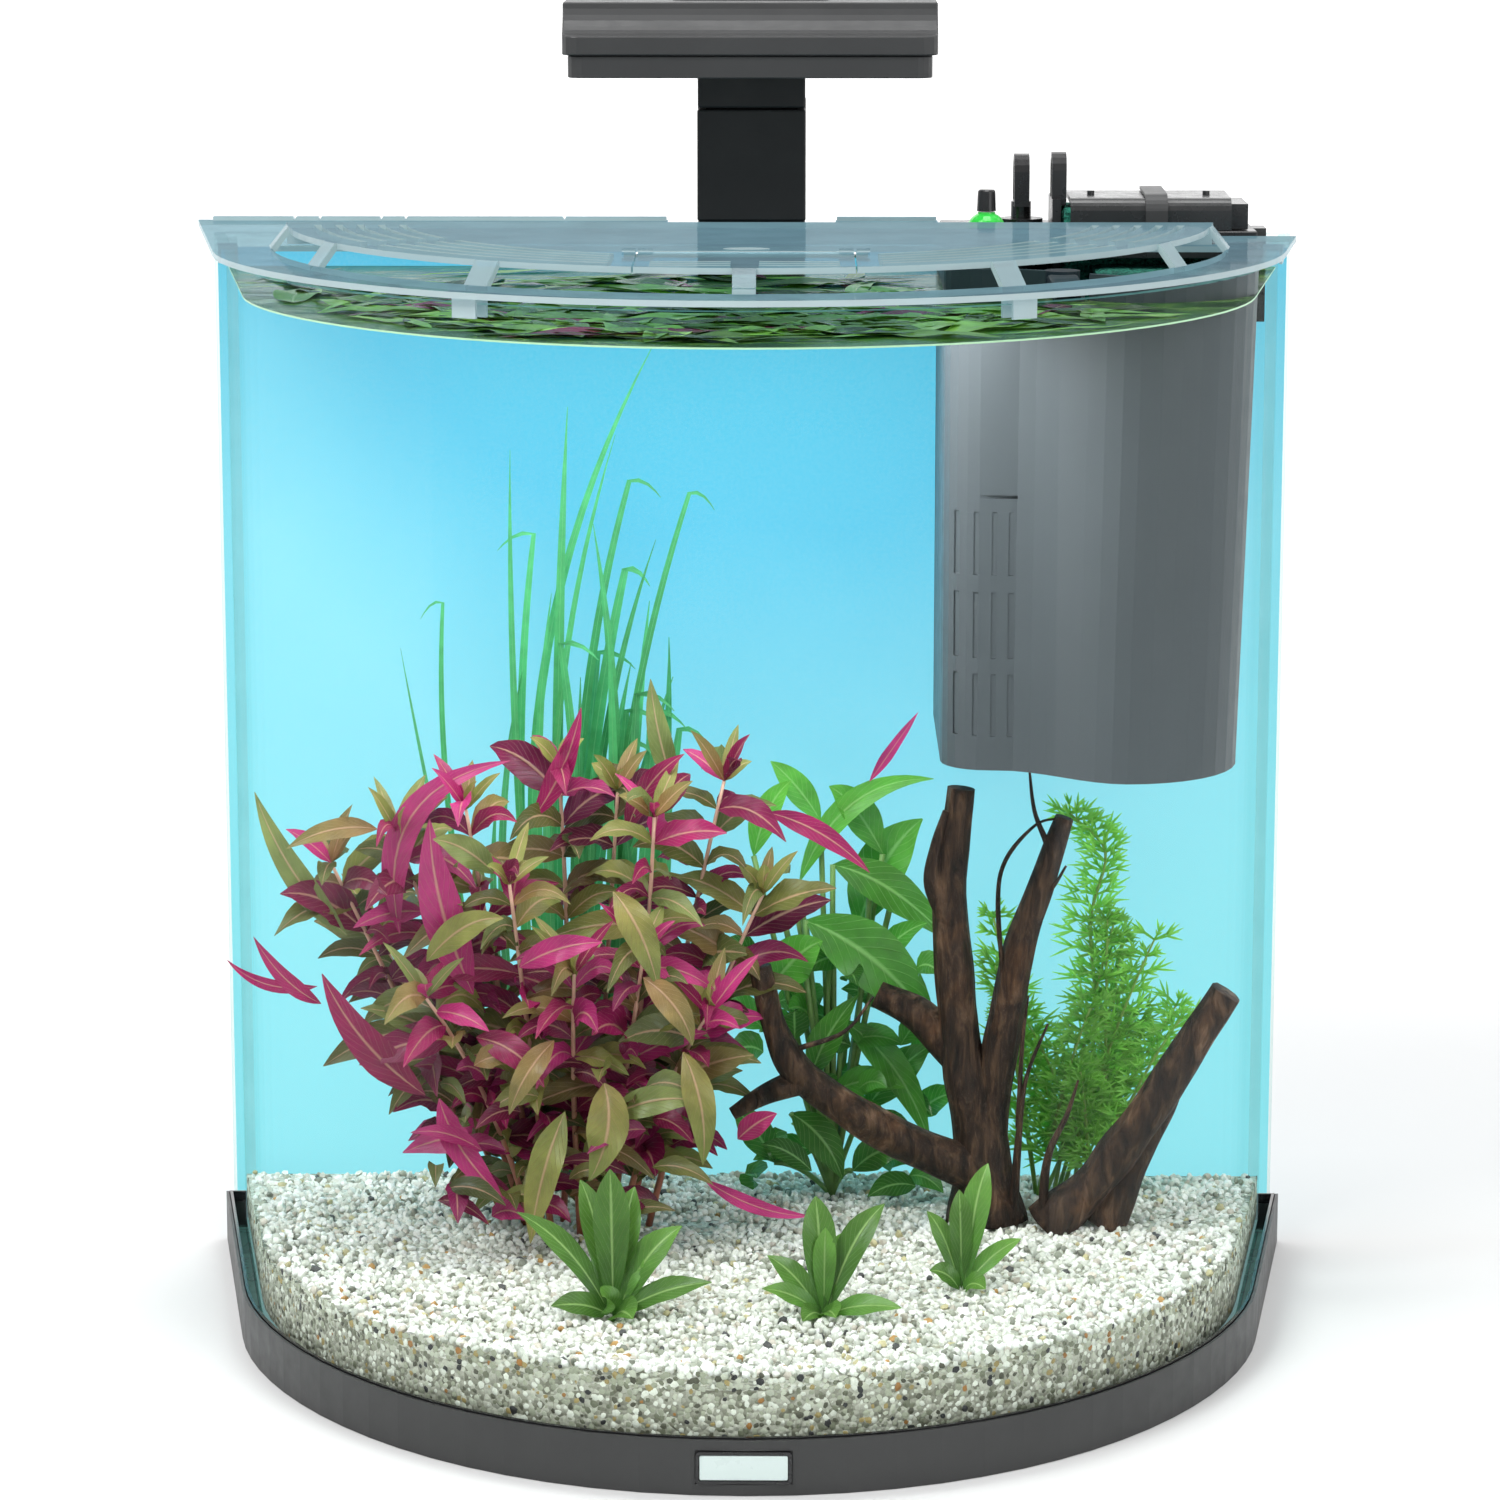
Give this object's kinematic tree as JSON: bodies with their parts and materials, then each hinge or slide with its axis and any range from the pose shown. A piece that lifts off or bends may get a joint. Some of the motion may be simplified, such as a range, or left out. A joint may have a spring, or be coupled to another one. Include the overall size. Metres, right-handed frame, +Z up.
{
  "type": "glass aquarium",
  "caption": "Crescent-shaped glass aquarium with a clear lid and feeding flap, a clip-on folding lamp, an inner box filter, gravel, driftwood and plants.",
  "frame": {"origin": "middle of the base's underside, on the surface it stands on", "axes": "+Z up, -Y out of the bowed front, +X to the right seen from the front"},
  "size_m": [0.4009, 0.301, 0.4682],
  "materials": {
    "charcoal_plastic": "satin, fine grain",
    "black_plastic": "satin",
    "grey_plastic": "smooth, semi-gloss",
    "smoky_clear_plastic": "clear, polished, faintly smoky",
    "clear_plastic": "clear, polished",
    "glass": "clear float glass, polished edges",
    "silicone": "translucent, smooth",
    "rubber": "matt",
    "blue_film": "printed sky-blue film, satin",
    "pale_badge": "plain, satin",
    "gravel": "rounded loose grains",
    "driftwood": "wet, furrowed bark",
    "green_leaf": "living leaves",
    "red_leaf": "living leaves, magenta and olive",
    "green_plastic": "glossy",
    "green_foam": "open-cell foam",
    "steel": "bright",
    "ceramic": "smooth",
    "led_board": "white printed board with yellow-topped diodes"
  },
  "bodies": {
    "tank": {"base_skirt": "charcoal_plastic", "base_seal": "black_plastic", "badge_frame": "black_plastic", "lamp_clamp": "black_plastic", "lamp_column": "black_plastic", "cable_gland": "black_plastic", "filter_deck": "black_plastic", "filter_hook": "black_plastic", "pump_body": "black_plastic", "filter_box": "grey_plastic", "outlet_nozzle": "grey_plastic", "lid_clip_front_left": "clear_plastic", "lid_clip_front_right": "clear_plastic", "lid_clip_side_left": "clear_plastic", "lid_clip_side_right": "clear_plastic", "front_glass": "glass", "back_glass": "glass", "bottom_glass": "glass", "heater_tube": "glass", "seam_floor": "silicone", "seam_left": "silicone", "seam_right": "silicone", "foot_back_left": "rubber", "foot_back_right": "rubber", "foot_front_left": "rubber", "foot_front_right": "rubber", "backdrop_film": "blue_film", "badge_face": "pale_badge", "gravel_bed": "gravel", "driftwood_trunk": "driftwood", "driftwood_log": "driftwood", "plant_grass": "green_leaf", "plant_broadleaf": "green_leaf", "plant_fern": "green_leaf", "plant_front_left": "green_leaf", "plant_front_middle": "green_leaf", "plant_front_right": "green_leaf", "plant_red": "red_leaf", "heater_collar": "green_plastic", "prefilter_foam": "green_foam", "impeller_shaft": "ceramic"},
    "lid": {"lid_cover": "smoky_clear_plastic", "flap_hinge_pin": "steel"},
    "flap": {"feed_flap": "smoky_clear_plastic"},
    "lamp_head": {"lamp_neck": "black_plastic", "lamp_hinge_pin": "steel", "lamp_housing": "charcoal_plastic", "lamp_cap": "black_plastic", "lamp_tray": "charcoal_plastic", "lamp_diffuser": "clear_plastic", "led_board": "led_board"},
    "pad": {"clamp_pad": "rubber"},
    "screw": {"clamp_screw": "black_plastic"},
    "rotor": {"impeller": "black_plastic"},
    "thermostat_knob": {"heater_knob": "black_plastic"},
    "coarse_filter": {"coarse_cartridge": "black_plastic"},
    "bio_filter": {"bio_frame": "black_plastic", "bio_foam": "green_foam", "cartridge_cover": "grey_plastic", "cover_clip": "charcoal_plastic"}
  },
  "joints": [
    {"name": "lid_lift", "type": "slide", "parent": "tank", "child": "lid", "axis": [0, 0, 1], "range_m": [0, 0.04]},
    {"name": "flap_hinge", "type": "hinge", "parent": "lid", "child": "flap", "pos_m": [0, -0.0625, 0.392], "axis": [-1, 0, 0], "range_deg": [0, 100]},
    {"name": "lamp_fold", "type": "hinge", "parent": "tank", "child": "lamp_head", "pos_m": [0, 0.147, 0.4265], "axis": [-1, 0, 0], "range_deg": [0, 90]},
    {"name": "pad_travel", "type": "slide", "parent": "tank", "child": "pad", "axis": [0, 1, 0], "range_m": [0, 0.00166]},
    {"name": "screw_turn", "type": "hinge", "parent": "pad", "child": "screw", "pos_m": [0, 0.148, 0.368], "axis": [0, 1, 0], "range_deg": [0, 600]},
    {"name": "impeller_spin", "type": "hinge", "parent": "tank", "child": "rotor", "pos_m": [0.0885, 0.048, 0.224], "axis": [0, 0, 1], "continuous": true},
    {"name": "thermostat_turn", "type": "hinge", "parent": "tank", "child": "thermostat_knob", "pos_m": [0.0835, 0.095, 0.396], "axis": [0, 0, 1], "range_deg": [0, 270]},
    {"name": "coarse_lift", "type": "slide", "parent": "tank", "child": "coarse_filter", "axis": [0, 0, 1], "range_m": [0, 0.165]},
    {"name": "bio_lift", "type": "slide", "parent": "tank", "child": "bio_filter", "axis": [0, 0, 1], "range_m": [0, 0.17]}
  ],
  "couplings": [
    {"joint": "screw_turn", "follows": "pad_travel", "rad_per_m": 6283.2}
  ]
}
